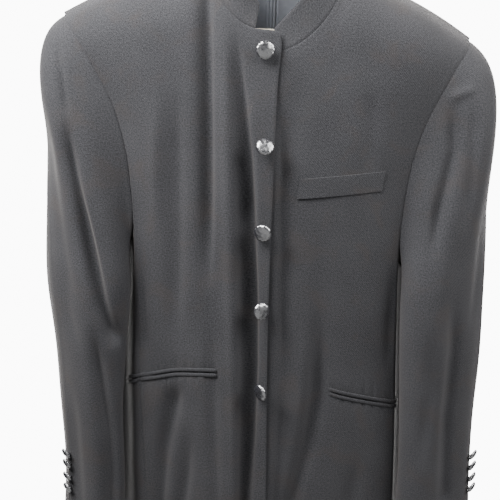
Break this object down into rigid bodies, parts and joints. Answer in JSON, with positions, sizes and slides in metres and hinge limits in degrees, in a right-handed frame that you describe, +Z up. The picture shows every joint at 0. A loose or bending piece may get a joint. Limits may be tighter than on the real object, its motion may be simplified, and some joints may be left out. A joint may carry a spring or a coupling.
{
  "type": "band-collar suit jacket hung on its hanger",
  "caption": "Single-breasted suit jacket with a standing band collar, a chest welt, slanted hip pockets and satin-covered buttons, hung on a plain hanger.",
  "frame": {"origin": "top of the hook's inside, where it rests on its rod", "axes": "+Z up, the jacket's front faces -Y, its wearer's left is towards +X"},
  "size_m": [0.5322, 0.1894, 0.8702],
  "materials": {
    "wool": "worsted wool, matte",
    "satin": "black satin",
    "lining": "lining satin",
    "hanger_plastic": "moulded, off white",
    "hook_steel": "plated wire"
  },
  "bodies": {
    "root": {"front_right": "wool", "front_left": "wool", "side_panel_right": "wool", "side_panel_left": "wool", "back_right": "wool", "back_left": "wool", "topsleeve_right": "wool", "topsleeve_left": "wool", "undersleeve_right": "wool", "undersleeve_left": "wool", "collar_band": "wool", "chest_welt": "wool", "hip_lip_upper_right": "wool", "hip_lip_lower_right": "wool", "hip_lip_upper_left": "wool", "hip_lip_lower_left": "wool", "front_button_1": "satin", "front_button_2": "satin", "front_button_3": "satin", "front_button_4": "satin", "front_button_5": "satin", "cuff_button_right_1": "satin", "cuff_button_right_2": "satin", "cuff_button_right_3": "satin", "cuff_button_right_4": "satin", "cuff_button_left_1": "satin", "cuff_button_left_2": "satin", "cuff_button_left_3": "satin", "cuff_button_left_4": "satin", "neck_lining": "lining", "hanger_arms": "hanger_plastic", "hanger_bar": "hanger_plastic", "hanger_hook": "hook_steel"}
  },
  "joints": []
}
